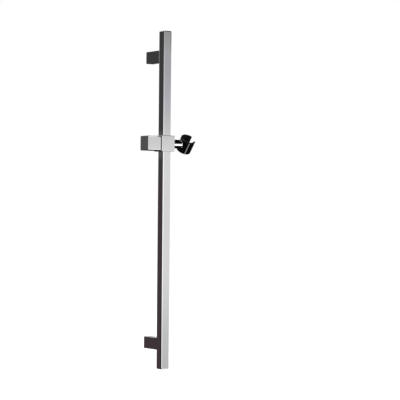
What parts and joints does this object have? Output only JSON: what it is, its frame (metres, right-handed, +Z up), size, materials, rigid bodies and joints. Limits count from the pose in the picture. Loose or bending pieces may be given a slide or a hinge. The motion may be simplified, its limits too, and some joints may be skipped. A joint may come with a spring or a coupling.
{
  "type": "shower slide rail",
  "caption": "Square wall-mounted shower rail on two brackets, with a clamping slider, square locking knob and tilting slotted handset cup.",
  "frame": {"origin": "on the wall plane, midway between the two wall fixings", "axes": "+Z up along the rail, -Y from the wall into the room, +X to the right along the wall"},
  "size_m": [0.1171, 0.0816, 0.704],
  "materials": {
    "polished_chrome": "polished",
    "black_gloss": "polished",
    "black_liner": "satin",
    "dark_nylon": "satin",
    "boss_nylon": "satin",
    "turned_brass": "machined",
    "bright_steel": "bright",
    "black_rubber": "smooth"
  },
  "bodies": {
    "rail": {"rail_tube": "polished_chrome", "top_cap": "polished_chrome", "bottom_cap": "polished_chrome", "upper_bracket": "polished_chrome", "lower_bracket": "polished_chrome", "upper_wall_boss": "boss_nylon", "lower_wall_boss": "boss_nylon", "upper_grub_screw": "bright_steel", "lower_grub_screw": "bright_steel", "upper_rail_bolt": "bright_steel", "lower_rail_bolt": "bright_steel", "upper_rail_nut": "bright_steel", "lower_rail_nut": "bright_steel"},
    "slider": {"slider_body": "polished_chrome", "upper_liner": "dark_nylon", "lower_liner": "dark_nylon", "clamp_nut": "dark_nylon", "pivot_spindle": "turned_brass", "pivot_o_ring": "black_rubber", "friction_washer": "dark_nylon", "spring_washer": "bright_steel", "pivot_bolt": "bright_steel"},
    "pad": {"brake_pad": "dark_nylon"},
    "knob": {"knob": "polished_chrome", "knob_cover": "dark_nylon", "clamp_screw": "bright_steel"},
    "holder": {"holder_stub": "polished_chrome", "holder_cup": "black_gloss", "cup_liner": "black_liner"}
  },
  "joints": [
    {"name": "slider_travel", "type": "slide", "parent": "rail", "child": "slider", "axis": [0, 0, 1], "range_m": [-0.388, 0.153]},
    {"name": "pad_travel", "type": "slide", "parent": "slider", "child": "pad", "axis": [-1, 0, 0], "range_m": [0, 0.00125]},
    {"name": "knob_turn", "type": "hinge", "parent": "pad", "child": "knob", "pos_m": [-0.02, -0.06, 0.1175], "axis": [-1, 0, 0], "range_deg": [0, 360]},
    {"name": "holder_tilt", "type": "hinge", "parent": "slider", "child": "holder", "pos_m": [0.0165, -0.06, 0.1175], "axis": [1, 0, 0], "range_deg": [-130, 50]}
  ],
  "couplings": [
    {"joint": "knob_turn", "follows": "pad_travel", "rad_per_m": 5026.5}
  ]
}
